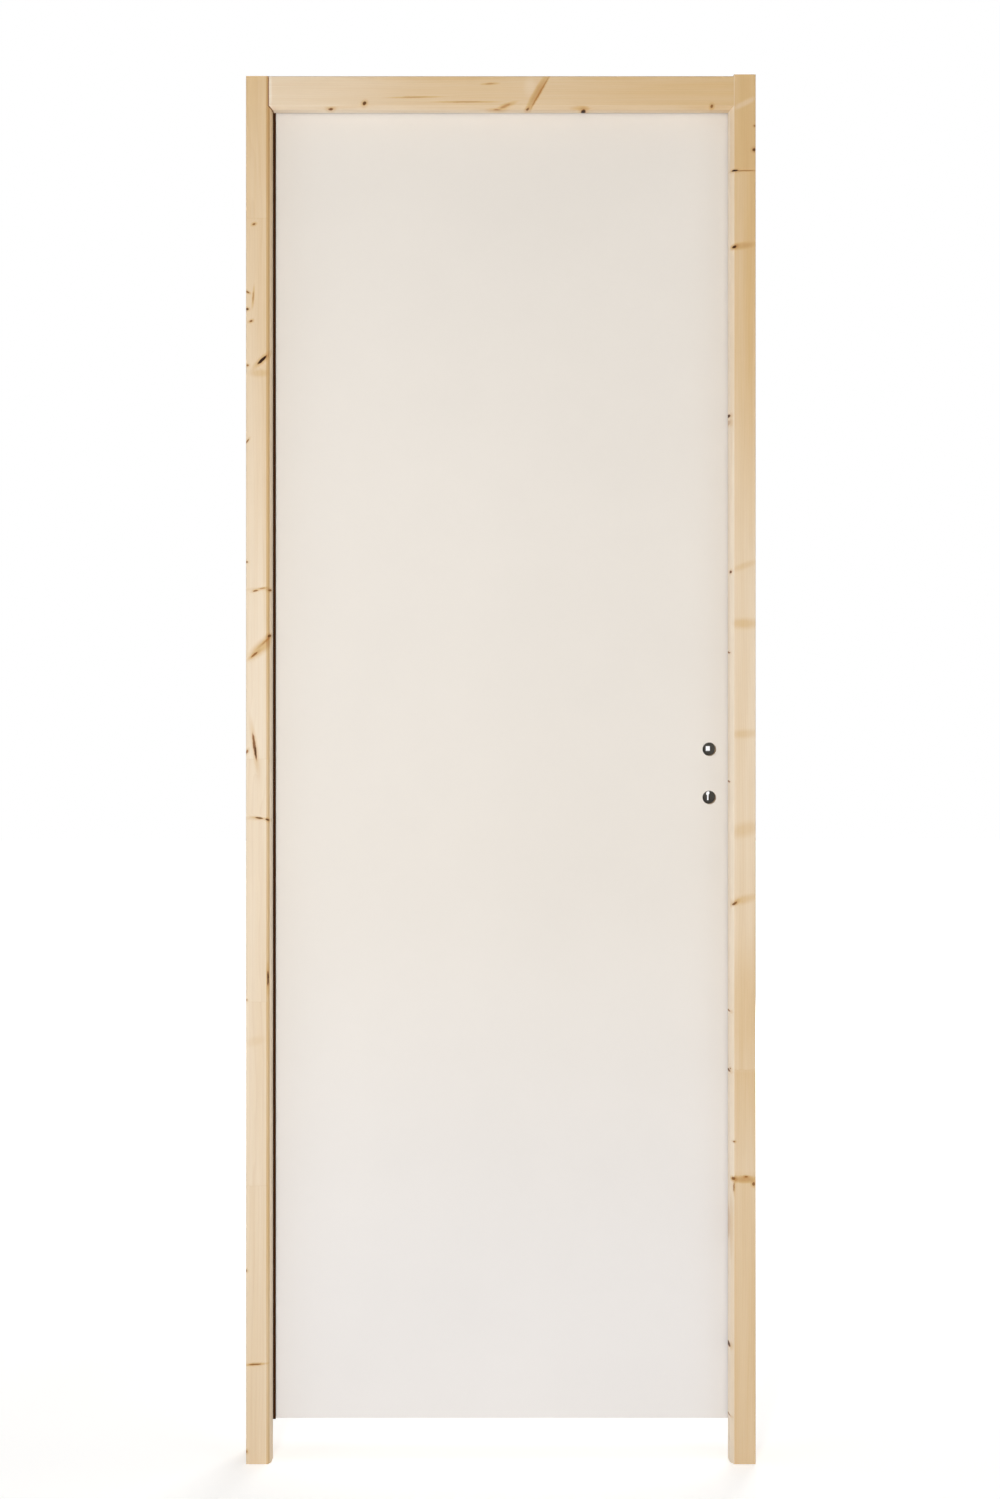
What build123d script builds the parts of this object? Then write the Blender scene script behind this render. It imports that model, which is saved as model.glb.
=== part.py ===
from build123d import *
import os

# Prehung interior door: a flush leaf on three lift-off hinges in a rebated softwood frame.
# X runs from the hinge jamb to the lock jamb, Y from the push side to the pull side, Z is up.
# The origin is on the hinge jamb's outer face, half way through the frame's depth, at the
# level of the finished floor. Sizes are in millimetres.

# Leaf: two hardboard skins on a softwood frame
leaf_width = 730.0
leaf_height = 2040.0
leaf_thickness = 40.0
skin_thickness = 3.0
stile_width = 28.0
rail_height = 55.0
floor_gap = 8.0

# Frame members: two full-height jambs and a head tenoned between them
frame_depth = 72.0
jamb_width = 40.0
head_width = 52.0
leg_length = 52.0
horn = 2.5
arris_round = 2.0

# Running gaps round the leaf, and how far the stops cover it
hinge_gap = 5.0
lock_gap = 6.6
head_gap = 5.0
stop_gap = 5.0
stop_overlap = 12.0

# Moulding on the opening's front arris: a bevel, then a splayed reveal
moulding_width = 6.3
bevel_width = 4.8
bevel_depth = 8.0
moulding_round = 1.2

# Joint of head and jamb
tenon_thickness = 12.0
tenon_height = 30.0
tenon_length = 18.0
joint_clearance = 0.2

# Seal strip: a flat lip on a stem that is pushed into a groove in the stop
seal_width = 12.0
seal_clearance = 0.3
seal_round = 1.4
stem_thickness = 2.6
stem_depth = 6.0
stem_inset = 2.0
groove_clearance = 0.2
seal_reach = 4.0
seal_setback = 1.0

# Lift-off hinges
hinge_height = 110.0
plate_thickness = 2.5
plate_reach = 30.0
plate_corner = 6.0
plate_clearance = 0.1
knuckle_radius = 6.5
knuckle_round = 1.5
knuckle_end = 4.0
axis_stand_off = 8.0
pin_radius = 3.5
pin_play = 0.05
pin_end_play = 0.5
ring_thickness = 2.0
ring_play = 0.1
top_hinge_drop = 210.0
bottom_hinge_rise = 245.0
hinge_screws = [(9.0, 42.0), (20.0, 18.0), (20.0, -18.0), (9.0, -42.0)]

# Mortise lock
backset = 40.0
follower_height = 1040.0
key_drop = 70.0
access_drop = 75.0
access_radius = 10.5
case_thickness = 14.0
case_wall = 1.2
case_behind = 22.0
case_above = 40.0
case_below = 52.0
case_clearance = 0.5
block_margin = 60.0
block_width = 85.0
follower_radius = 9.0
follower_proud = 0.3
follower_play = 0.1
spindle_square = 8.0
key_radius = 3.4
key_slot_width = 3.8
key_slot_length = 11.5

# Faceplate, bolts drawn in flush with it, and strike plate
faceplate_width = 20.0
faceplate_thickness = 3.0
faceplate_overlap = 20.0
latch_height = 20.0
latch_length = 27.0
latch_bevel = 9.0
dead_height = 26.0
dead_length = 26.0
bolt_play = 0.3
strike_width = 22.0
strike_thickness = 2.0
strike_margin = 38.0
strike_play = 2.0
strike_pocket = 14.0
flush_clearance = 0.1

# Countersunk screw holes in the plates
screw_radius = 2.2
screw_head_radius = 4.3

# Depths
front = -frame_depth / 2
back = frame_depth / 2
leaf_front = back - leaf_thickness
stop_back = leaf_front - stop_gap
stop_depth = stop_back - front
core_front = leaf_front + skin_thickness
core_thickness = leaf_thickness - 2 * skin_thickness

# Widths
leaf_left = jamb_width - stop_overlap
leaf_right = leaf_left + leaf_width
frame_width = leaf_right - stop_overlap + jamb_width
hinge_rebate = leaf_left - hinge_gap
lock_rebate = frame_width - leaf_right - lock_gap
jamb_flat = jamb_width - moulding_width

# Heights
leaf_bottom = floor_gap
leaf_top = leaf_bottom + leaf_height
head_soffit = leaf_top - stop_overlap
head_top = head_soffit + head_width
head_rebate = head_top - leaf_top - head_gap
mitre_top = head_soffit + moulding_width

# Hinge axis and levels
pin_x = (hinge_rebate + leaf_left) / 2
pin_y = back + axis_stand_off
hinge_levels = {
    "upper": leaf_top - top_hinge_drop,
    "middle": (leaf_top - top_hinge_drop + leaf_bottom + bottom_hinge_rise) / 2,
    "lower": leaf_bottom + bottom_hinge_rise,
}

# Lock places
lock_x = leaf_right - backset
lock_y = leaf_front + leaf_thickness / 2
follower_z = leaf_bottom + follower_height
key_z = follower_z - key_drop
access_z = follower_z - access_drop
case_front_x = leaf_right - faceplate_thickness
case_back_x = lock_x - case_behind
case_depth = case_front_x - case_back_x
case_height = case_below + key_drop + case_above
mortise_thickness = case_thickness + 2 * case_clearance
bolt_width = case_thickness - 2 * case_wall - 2 * bolt_play
case_z = key_z - case_below + case_height / 2
faceplate_height = case_height + 2 * faceplate_overlap
strike_x = frame_width - lock_rebate
strike_z = (follower_z + key_z) / 2
strike_height = key_drop + 2 * strike_margin

corner = (Align.MIN, Align.MIN, Align.MIN)
hinge_side = Plane(origin=(0, stop_back, 0), x_dir=(1, 0, 0), z_dir=(0, -1, 0))
lock_side = Plane(origin=(frame_width, stop_back, 0), x_dir=(-1, 0, 0), z_dir=(0, 1, 0))


def member_section(plane, width, rebate, groove):
    """Section of a jamb or the head, from its outer face (0) to the opening (width)."""
    flat = width - moulding_width
    outline = [
        (0, front),
        (flat, front),
        (flat + bevel_width, front + bevel_depth),
        (width, stop_back),
        (rebate, stop_back),
        (rebate, back),
        (0, back),
    ]
    rounds = [arris_round, moulding_round, moulding_round, moulding_round]
    rounds += [0, arris_round, arris_round]
    with BuildSketch(plane) as section:
        with BuildLine():
            FilletPolyline(*outline, radius=rounds, close=True)
        make_face()
        with Locations((groove, stop_back)):
            Rectangle(
                stem_thickness + 2 * groove_clearance,
                stem_depth + groove_clearance,
                align=(Align.CENTER, Align.MAX),
                mode=Mode.SUBTRACT,
            )
    return section.sketch


def seal_section(plane, stem):
    """Section of the seal with its stem centred at stem, its lip towards the opening."""
    lip_start = stem - stem_inset
    lip_back = leaf_front - seal_clearance
    with BuildSketch(plane) as section:
        with Locations((lip_start, stop_back)):
            RectangleRounded(
                seal_width,
                lip_back - stop_back,
                seal_round,
                align=(Align.MIN, Align.MIN),
            )
        with Locations((stem, stop_back + seal_round)):
            Rectangle(
                stem_thickness,
                stem_depth + seal_round,
                align=(Align.CENTER, Align.MAX),
            )
    return section.sketch


def jamb_waste(side):
    """Stop and moulding that the jamb loses where the head runs in, up to the mitre."""
    past = jamb_width + moulding_width
    above = head_top + moulding_width
    with BuildSketch(side) as waste:
        with BuildLine():
            Polyline(
                (jamb_flat, mitre_top),
                (past, mitre_top - (past - jamb_flat)),
                (past, above),
                (jamb_flat, above),
                close=True,
            )
        make_face()
    return waste.sketch


def head_waste(side):
    """End of the head's stop and moulding that makes room for the jamb and its mitre."""
    past = jamb_width + moulding_width
    below = mitre_top - (past - jamb_flat)
    above = head_top + moulding_width
    with BuildSketch(side) as waste:
        with BuildLine():
            Polyline(
                (jamb_flat, mitre_top),
                (past, below),
                (0, below),
                (0, above),
                (jamb_flat, above),
                close=True,
            )
        make_face()
    return waste.sketch


def recess_outline(x):
    """Recesses for the three hinge plates, open at the pull side."""
    with BuildSketch(Plane.YZ.offset(x)) as outline:
        with Locations(*[(back, level) for level in hinge_levels.values()]):
            RectangleRounded(
                2 * (plate_reach + plate_clearance),
                hinge_height + 2 * plate_clearance,
                plate_corner + plate_clearance,
            )
    return outline.sketch


def plate_outline(x, level, up):
    """Hinge plate with its neck in the upper (up = 1) or the lower (up = -1) half."""
    half = up * hinge_height / 2
    neck = up * (ring_thickness / 2 + ring_play)
    with BuildSketch(Plane.YZ.offset(x)) as outline:
        with BuildLine():
            FilletPolyline(
                (back - plate_reach, level - half),
                (back, level - half),
                (back, level + neck),
                (pin_y, level + neck),
                (pin_y, level + half),
                (back - plate_reach, level + half),
                radius=[plate_corner, arris_round, 0, 0, 0, plate_corner],
                close=True,
            )
        make_face()
    return outline.sketch


def pin_circle(radius, level):
    """Circle on the hinge axis."""
    with BuildSketch(Plane.XY.offset(level)) as circle:
        with Locations((pin_x, pin_y)):
            Circle(radius)
    return circle.sketch


def screw_places(x, level, outward):
    """Screw places on a hinge plate's face at x, whose normal points along outward X."""
    return [
        Plane(origin=(x, back - inset, level + rise), z_dir=(outward, 0, 0))
        for inset, rise in hinge_screws
    ]


def access_outline(y):
    """Round holes for the handle's spindle and the key."""
    with BuildSketch(Plane.XZ.offset(-y)) as outline:
        with Locations((lock_x, follower_z), (lock_x, access_z)):
            Circle(access_radius)
    return outline.sketch


def case_outline(y, clearance):
    """Side view of the lock case."""
    with BuildSketch(Plane.XZ.offset(-y)) as outline:
        with Locations((case_front_x, case_z)):
            Rectangle(
                case_depth + clearance,
                case_height + 2 * clearance,
                align=(Align.MAX, Align.CENTER),
            )
    return outline.sketch


def case_openings(y):
    """Openings in a side of the lock case for the follower and the lever key."""
    with BuildSketch(Plane.XZ.offset(-y)) as outline:
        with Locations((lock_x, follower_z)):
            Circle(follower_radius + follower_play)
        with Locations((lock_x, key_z)):
            Circle(key_radius)
            Rectangle(
                key_slot_width, key_slot_length, align=(Align.CENTER, Align.MAX)
            )
    return outline.sketch


def bolt_openings(x, play):
    """Openings round the two bolts, seen along X."""
    with BuildSketch(Plane.YZ.offset(x)) as outline:
        with Locations((lock_y, follower_z)):
            Rectangle(bolt_width + 2 * play, latch_height + 2 * play)
        with Locations((lock_y, key_z)):
            Rectangle(bolt_width + 2 * play, dead_height + 2 * play)
    return outline.sketch


def round_ended_plate(x, centre_z, height, width, clearance=0.0):
    """Upright plate with half-round ends, seen along X."""
    with BuildSketch(Plane.YZ.offset(x)) as outline:
        with Locations((lock_y, centre_z)):
            SlotOverall(height + 2 * clearance, width + 2 * clearance, rotation=90)
    return outline.sketch


def cut_lock_mortise():
    """Cut the lock case's mortise, from the leaf's edge, in the part being built."""
    extrude(
        case_outline(lock_y - mortise_thickness / 2, case_clearance),
        amount=-mortise_thickness,
        mode=Mode.SUBTRACT,
    )


os.makedirs("parts", exist_ok=True)

# Frame

hinge_groove = jamb_width + seal_reach - seal_width + stem_inset
lock_groove = jamb_width - seal_setback - seal_width + stem_inset
head_groove = head_width - seal_setback - seal_width + stem_inset
tenon_y = (front + stop_back) / 2
tenon_z = (head_top + mitre_top) / 2
mortise_size = (
    tenon_length + joint_clearance,
    tenon_thickness + 2 * joint_clearance,
    tenon_height + 2 * joint_clearance,
)

with BuildPart() as hinge_jamb:
    extrude(
        member_section(
            Plane.XY.offset(-leg_length), jamb_width, hinge_rebate, hinge_groove
        ),
        amount=head_top + leg_length,
    )
    extrude(
        jamb_waste(hinge_side), amount=stop_depth, dir=(0, -1, 0), mode=Mode.SUBTRACT
    )
    with Locations((jamb_flat, tenon_y, tenon_z)):
        Box(
            *mortise_size,
            align=(Align.MAX, Align.CENTER, Align.CENTER),
            mode=Mode.SUBTRACT,
        )
    extrude(
        recess_outline(hinge_rebate),
        amount=-plate_thickness,
        mode=Mode.SUBTRACT,
    )
hinge_jamb.part.label = "hinge_jamb"
export_step(hinge_jamb.part, "parts/hinge_jamb.step")

with BuildPart() as lock_jamb:
    extrude(
        member_section(
            Plane((frame_width, 0, head_top + horn), (-1, 0, 0), (0, 0, -1)),
            jamb_width,
            lock_rebate,
            lock_groove,
        ),
        amount=head_top + horn + leg_length,
    )
    extrude(
        jamb_waste(lock_side), amount=stop_depth, dir=(0, -1, 0), mode=Mode.SUBTRACT
    )
    with Locations((frame_width - jamb_flat, tenon_y, tenon_z)):
        Box(
            *mortise_size,
            align=(Align.MIN, Align.CENTER, Align.CENTER),
            mode=Mode.SUBTRACT,
        )
    extrude(
        round_ended_plate(
            strike_x, strike_z, strike_height, strike_width, flush_clearance
        ),
        amount=strike_thickness,
        mode=Mode.SUBTRACT,
    )
    extrude(
        bolt_openings(strike_x, strike_play), amount=strike_pocket, mode=Mode.SUBTRACT
    )
lock_jamb.part.label = "lock_jamb"
export_step(lock_jamb.part, "parts/lock_jamb.step")

with BuildPart() as head:
    extrude(
        member_section(
            Plane((hinge_rebate, 0, head_top), (0, 0, -1), (1, 0, 0)),
            head_width,
            head_rebate,
            head_groove,
        ),
        amount=strike_x - hinge_rebate,
    )
    extrude(
        head_waste(hinge_side), amount=stop_depth, dir=(0, -1, 0), mode=Mode.SUBTRACT
    )
    extrude(
        head_waste(lock_side), amount=stop_depth, dir=(0, -1, 0), mode=Mode.SUBTRACT
    )
    with Locations((jamb_flat, tenon_y, tenon_z)):
        Box(
            tenon_length,
            tenon_thickness,
            tenon_height,
            align=(Align.MAX, Align.CENTER, Align.CENTER),
        )
    with Locations((frame_width - jamb_flat, tenon_y, tenon_z)):
        Box(
            tenon_length,
            tenon_thickness,
            tenon_height,
            align=(Align.MIN, Align.CENTER, Align.CENTER),
        )
head.part.label = "head"
export_step(head.part, "parts/head.step")

# Seals

seal_top = head_soffit + seal_setback - seal_clearance

with BuildPart() as hinge_seal:
    extrude(
        seal_section(Plane.XY.offset(leaf_bottom), hinge_groove),
        amount=seal_top - leaf_bottom,
    )
hinge_seal.part.label = "hinge_seal"
export_step(hinge_seal.part, "parts/hinge_seal.step")

with BuildPart() as lock_seal:
    extrude(
        seal_section(
            Plane((frame_width, 0, seal_top), (-1, 0, 0), (0, 0, -1)), lock_groove
        ),
        amount=seal_top - leaf_bottom,
    )
lock_seal.part.label = "lock_seal"
export_step(lock_seal.part, "parts/lock_seal.step")

with BuildPart() as head_seal:
    extrude(
        seal_section(
            Plane((jamb_width, 0, head_top), (0, 0, -1), (1, 0, 0)), head_groove
        ),
        amount=frame_width - 2 * jamb_width,
    )
head_seal.part.label = "head_seal"
export_step(head_seal.part, "parts/head_seal.step")

# Leaf

with BuildPart() as leaf_skin_push:
    with Locations((leaf_left, leaf_front, leaf_bottom)):
        Box(leaf_width, skin_thickness, leaf_height, align=corner)
    extrude(access_outline(leaf_front), amount=-skin_thickness, mode=Mode.SUBTRACT)
leaf_skin_push.part.label = "leaf_skin_push"
export_step(leaf_skin_push.part, "parts/leaf_skin_push.step")

with BuildPart() as leaf_skin_pull:
    with Locations((leaf_left, back - skin_thickness, leaf_bottom)):
        Box(leaf_width, skin_thickness, leaf_height, align=corner)
    extrude(
        access_outline(back - skin_thickness),
        amount=-skin_thickness,
        mode=Mode.SUBTRACT,
    )
    extrude(recess_outline(leaf_left), amount=plate_thickness, mode=Mode.SUBTRACT)
leaf_skin_pull.part.label = "leaf_skin_pull"
export_step(leaf_skin_pull.part, "parts/leaf_skin_pull.step")

with BuildPart() as hinge_stile:
    with Locations((leaf_left, core_front, leaf_bottom)):
        Box(stile_width, core_thickness, leaf_height, align=corner)
    extrude(recess_outline(leaf_left), amount=plate_thickness, mode=Mode.SUBTRACT)
hinge_stile.part.label = "hinge_stile"
export_step(hinge_stile.part, "parts/hinge_stile.step")

with BuildPart() as lock_stile:
    with Locations((leaf_right - stile_width, core_front, leaf_bottom)):
        Box(stile_width, core_thickness, leaf_height, align=corner)
    cut_lock_mortise()
    extrude(
        round_ended_plate(
            leaf_right, case_z, faceplate_height, faceplate_width, flush_clearance
        ),
        amount=-faceplate_thickness,
        mode=Mode.SUBTRACT,
    )
lock_stile.part.label = "lock_stile"
export_step(lock_stile.part, "parts/lock_stile.step")

rail_length = leaf_width - 2 * stile_width
for rail_name, rail_z in (
    ("leaf_top_rail", leaf_top - rail_height),
    ("leaf_bottom_rail", leaf_bottom),
):
    with BuildPart() as rail:
        with Locations((leaf_left + stile_width, core_front, rail_z)):
            Box(rail_length, core_thickness, rail_height, align=corner)
    rail.part.label = rail_name
    export_step(rail.part, f"parts/{rail_name}.step")

block_height = case_height + 2 * block_margin
block_right = leaf_right - stile_width
with BuildPart() as lock_block:
    with Locations((block_right, lock_y, case_z)):
        Box(
            block_width,
            core_thickness,
            block_height,
            align=(Align.MAX, Align.CENTER, Align.CENTER),
        )
    cut_lock_mortise()
    extrude(access_outline(core_front), amount=-core_thickness, mode=Mode.SUBTRACT)
lock_block.part.label = "lock_block"
export_step(lock_block.part, "parts/lock_block.step")

# Lock

case_push = lock_y - case_thickness / 2
case_pull = lock_y + case_thickness / 2

with BuildPart() as lock_case:
    extrude(case_outline(case_push, 0.0), amount=-(case_thickness - case_wall))
    inner = (Align.MAX, Align.MIN, Align.CENTER)
    with Locations((case_front_x, case_push + case_wall, case_z)):
        Box(
            case_depth - case_wall,
            case_thickness,
            case_height - 2 * case_wall,
            align=inner,
            mode=Mode.SUBTRACT,
        )
    extrude(case_openings(case_push), amount=-case_wall, mode=Mode.SUBTRACT)
lock_case.part.label = "lock_case"
export_step(lock_case.part, "parts/lock_case.step")

with BuildPart() as lock_cover:
    extrude(case_outline(case_pull - case_wall, 0.0), amount=-case_wall)
    extrude(
        case_openings(case_pull - case_wall), amount=-case_wall, mode=Mode.SUBTRACT
    )
lock_cover.part.label = "lock_cover"
export_step(lock_cover.part, "parts/lock_cover.step")

with BuildPart() as lock_follower:
    with BuildSketch(Plane.XZ.offset(-(case_push - follower_proud))):
        with Locations((lock_x, follower_z)):
            Circle(follower_radius)
            Rectangle(spindle_square, spindle_square, mode=Mode.SUBTRACT)
    extrude(amount=-(case_thickness + 2 * follower_proud))
lock_follower.part.label = "lock_follower"
export_step(lock_follower.part, "parts/lock_follower.step")

with BuildPart() as lock_faceplate:
    extrude(
        round_ended_plate(leaf_right, case_z, faceplate_height, faceplate_width),
        amount=-faceplate_thickness,
    )
    extrude(
        bolt_openings(leaf_right, bolt_play),
        amount=-faceplate_thickness,
        mode=Mode.SUBTRACT,
    )
    faceplate_screw = (faceplate_height - faceplate_width) / 2
    with Locations(
        Plane((leaf_right, lock_y, case_z + faceplate_screw), z_dir=(1, 0, 0)),
        Plane((leaf_right, lock_y, case_z - faceplate_screw), z_dir=(1, 0, 0)),
    ):
        CounterSinkHole(screw_radius, screw_head_radius, depth=faceplate_thickness)
lock_faceplate.part.label = "lock_faceplate"
export_step(lock_faceplate.part, "parts/lock_faceplate.step")

with BuildPart() as latch_bolt:
    with BuildSketch(Plane.XY.offset(follower_z - latch_height / 2)):
        with BuildLine():
            Polyline(
                (leaf_right - latch_length, lock_y - bolt_width / 2),
                (leaf_right - latch_bevel, lock_y - bolt_width / 2),
                (leaf_right, lock_y + bolt_width / 2 - bolt_play),
                (leaf_right, lock_y + bolt_width / 2),
                (leaf_right - latch_length, lock_y + bolt_width / 2),
                close=True,
            )
        make_face()
    extrude(amount=latch_height)
latch_bolt.part.label = "latch_bolt"
export_step(latch_bolt.part, "parts/latch_bolt.step")

with BuildPart() as dead_bolt:
    with Locations((leaf_right, lock_y, key_z)):
        Box(
            dead_length,
            bolt_width,
            dead_height,
            align=(Align.MAX, Align.CENTER, Align.CENTER),
        )
    fillet(dead_bolt.faces().sort_by(Axis.X)[-1].edges(), bolt_play)
dead_bolt.part.label = "dead_bolt"
export_step(dead_bolt.part, "parts/dead_bolt.step")

with BuildPart() as strike_plate:
    extrude(
        round_ended_plate(strike_x, strike_z, strike_height, strike_width),
        amount=strike_thickness,
    )
    extrude(
        bolt_openings(strike_x, strike_play),
        amount=strike_thickness,
        mode=Mode.SUBTRACT,
    )
    strike_screw = (strike_height - strike_width) / 2
    with Locations(
        Plane((strike_x, lock_y, strike_z + strike_screw), z_dir=(-1, 0, 0)),
        Plane((strike_x, lock_y, strike_z - strike_screw), z_dir=(-1, 0, 0)),
    ):
        CounterSinkHole(screw_radius, screw_head_radius, depth=strike_thickness)
strike_plate.part.label = "strike_plate"
export_step(strike_plate.part, "parts/strike_plate.step")

# Hinges

knuckle_length = hinge_height / 2 - ring_thickness / 2 - ring_play
bore_depth = knuckle_length - knuckle_end
pin_length = 2 * bore_depth + ring_thickness + 2 * ring_play - pin_end_play

for place, level in hinge_levels.items():
    lower_end = level - hinge_height / 2
    upper_end = level + hinge_height / 2

    with BuildPart() as frame_half:
        extrude(pin_circle(knuckle_radius, lower_end), amount=knuckle_length)
        fillet(frame_half.edges().group_by(Axis.Z)[0], knuckle_round)
        extrude(
            plate_outline(hinge_rebate - plate_thickness, level, -1),
            amount=plate_thickness,
        )
        extrude(
            pin_circle(pin_radius + pin_play, lower_end + knuckle_end),
            amount=bore_depth,
            mode=Mode.SUBTRACT,
        )
        with Locations(*screw_places(hinge_rebate, level, 1)):
            CounterSinkHole(screw_radius, screw_head_radius, depth=plate_thickness)
    frame_half.part.label = f"hinge_{place}_frame_half"
    export_step(frame_half.part, f"parts/hinge_{place}_frame_half.step")

    with BuildPart() as leaf_half:
        extrude(pin_circle(knuckle_radius, upper_end), amount=-knuckle_length)
        fillet(leaf_half.edges().group_by(Axis.Z)[-1], knuckle_round)
        extrude(plate_outline(leaf_left, level, 1), amount=plate_thickness)
        extrude(
            pin_circle(pin_radius + pin_play, upper_end - knuckle_end),
            amount=-bore_depth,
            mode=Mode.SUBTRACT,
        )
        with Locations(*screw_places(leaf_left, level, -1)):
            CounterSinkHole(screw_radius, screw_head_radius, depth=plate_thickness)
    leaf_half.part.label = f"hinge_{place}_leaf_half"
    export_step(leaf_half.part, f"parts/hinge_{place}_leaf_half.step")

    with BuildPart() as pin:
        extrude(pin_circle(pin_radius, lower_end + knuckle_end), amount=pin_length)
    pin.part.label = f"hinge_{place}_pin"
    export_step(pin.part, f"parts/hinge_{place}_pin.step")

    with BuildPart() as ring:
        extrude(pin_circle(knuckle_radius, level - ring_thickness / 2), amount=ring_thickness)
        extrude(
            pin_circle(pin_radius + pin_play, level - ring_thickness / 2),
            amount=ring_thickness,
            mode=Mode.SUBTRACT,
        )
    ring.part.label = f"hinge_{place}_ring"
    export_step(ring.part, f"parts/hinge_{place}_ring.step")
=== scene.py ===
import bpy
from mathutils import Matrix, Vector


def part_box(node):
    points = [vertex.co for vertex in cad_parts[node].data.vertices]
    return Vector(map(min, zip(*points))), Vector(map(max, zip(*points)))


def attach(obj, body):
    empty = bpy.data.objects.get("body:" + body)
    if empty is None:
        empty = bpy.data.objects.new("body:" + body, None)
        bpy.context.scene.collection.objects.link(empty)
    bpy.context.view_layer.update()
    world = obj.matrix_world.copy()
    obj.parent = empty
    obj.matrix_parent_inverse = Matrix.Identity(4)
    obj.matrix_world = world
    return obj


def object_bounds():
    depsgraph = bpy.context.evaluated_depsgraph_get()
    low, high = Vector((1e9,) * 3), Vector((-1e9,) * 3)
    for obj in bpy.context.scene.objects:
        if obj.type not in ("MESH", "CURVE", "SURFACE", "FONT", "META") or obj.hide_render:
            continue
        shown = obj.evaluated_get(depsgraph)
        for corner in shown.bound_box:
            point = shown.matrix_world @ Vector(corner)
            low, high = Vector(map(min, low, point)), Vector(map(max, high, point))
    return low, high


bl_info = {
    "name": "Prehung Interior Door",
    "version": (1, 0, 0),
    "blender": (4, 5, 0),
    "location": "3D View > Sidebar > Door",
    "description": "Finishes and screws of a ready-hung interior door, and its studio",
    "category": "Object",
}

import math
from collections import namedtuple

import bpy
import numpy as np
from mathutils import Vector

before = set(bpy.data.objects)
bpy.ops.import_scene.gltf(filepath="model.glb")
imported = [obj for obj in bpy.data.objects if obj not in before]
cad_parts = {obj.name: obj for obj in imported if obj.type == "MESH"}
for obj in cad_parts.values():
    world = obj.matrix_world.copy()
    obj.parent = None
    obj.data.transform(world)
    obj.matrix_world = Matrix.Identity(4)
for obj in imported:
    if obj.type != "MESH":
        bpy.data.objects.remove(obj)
CAD_BOX = [list(corner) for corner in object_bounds()]
MM = 0.001

# Places read from the frame, in metres
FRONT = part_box("hinge_jamb")[0].y
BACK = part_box("hinge_jamb")[1].y
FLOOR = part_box("hinge_jamb")[0].z
LEAF_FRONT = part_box("leaf_skin_push")[0].y
LEAF_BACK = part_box("leaf_skin_pull")[1].y
LEAF_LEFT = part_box("leaf_skin_push")[0].x
HINGES = ("upper", "middle", "lower")
# The hinge's axis lies midway between the face that its frame half lies on and the leaf's edge
HINGE_AXIS = (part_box("hinge_upper_pin")[0].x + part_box("hinge_upper_pin")[1].x) / 2
HINGE_REBATE = 2 * HINGE_AXIS - LEAF_LEFT


# Settings


def linear(code):
    """Linear colour of an sRGB hex code, with the sRGB curve's two parts."""
    shares = [int(code[i : i + 2], 16) / 255 for i in (0, 2, 4)]
    return [s / 12.92 if s <= 0.04045 else ((s + 0.055) / 1.055) ** 2.4 for s in shares]


def colour_setting(name, description, code):
    """A colour in the sidebar whose default is an sRGB hex code."""
    return bpy.props.FloatVectorProperty(
        name=name,
        description=description,
        subtype="COLOR",
        size=3,
        min=0.0,
        max=1.0,
        default=linear(code),
    )


def number_setting(name, description, value, **options):
    """A number in the sidebar, with its unit and its limits."""
    return bpy.props.FloatProperty(name=name, description=description, default=value, **options)


def size_setting(name, description, millimetres):
    """A length in the sidebar whose default is given in millimetres."""
    options = {"subtype": "DISTANCE", "unit": "LENGTH", "min": 0.0, "precision": 5}
    return number_setting(name, description, millimetres * MM, **options)


def share_setting(name, description, share):
    """A number from 0 to 1 in the sidebar."""
    return number_setting(name, description, share, subtype="FACTOR", min=0.0, max=1.0)


def power_setting(name, description, watts):
    """The power of a lamp in the sidebar."""
    return number_setting(name, description, watts, subtype="POWER", min=0.0)


class DoorTimberSettings(bpy.types.PropertyGroup):
    """Colours and growth of the softwood."""

    pale: colour_setting("Pale wood", "Sapwood of the lightest lengths", "F1E2CD")
    honey: colour_setting("Honey wood", "Heartwood of the warmest lengths", "D8B683")
    amber: colour_setting("Amber wood", "Wood that leads up to a knot", "BA8445")
    resin: colour_setting("Resin", "Resinous wood round a knot's heart", "A8692A")
    knot: colour_setting("Knot", "Heart of a dark knot", "2A1203")
    ring_spacing: size_setting("Ring spacing", "Distance between growth rings", 3.4)
    fibre: size_setting("Fibre width", "Width of the finest streaks along the grain", 0.5)
    ring_strength: share_setting("Ring strength", "How dark the late wood is", 0.17)


class DoorLeafSettings(bpy.types.PropertyGroup):
    """Primer, board and seal of the leaf and its rebate."""

    primer: colour_setting("Primer", "Factory primer on the leaf's faces", "E9E2D9")
    # The whiter primer at the foot is painted light from the floor below
    foot: colour_setting("Primer at the foot", "Whiter primer low on the leaf", "EFEBE8")
    board: colour_setting("Hardboard", "Cut edge of the hardboard skins", "8F6B48")
    seal: colour_setting("Seal", "Brown rubber of the seal strips", "3A1E06")
    stipple: size_setting("Stipple", "Spacing of the roller's texture in the primer", 1.4)


class DoorMetalSettings(bpy.types.PropertyGroup):
    """Metals of the hinges, the lock and the screws."""

    zinc: colour_setting("Zinc plate", "Bright zinc on hinges and screws", "C3C6C8")
    nickel: colour_setting("Nickel", "Satin nickel on faceplate, strike and bolts", "C9C3B6")
    # Lacquer and polymer are darker than the real grey parts, as painted shade inside the lock
    # holes
    lacquer: colour_setting("Lacquer", "Dark grey lacquer on the lock case", "494742")
    polymer: colour_setting("Polymer", "Dark grey moulded follower of the lock", "4E4C47")
    steel: colour_setting("Steel", "Turned steel of the hinge pins", "BDBFC0")
    brass: colour_setting("Brass", "Turned brass of the hinge rings", "D1A85A")


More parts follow.
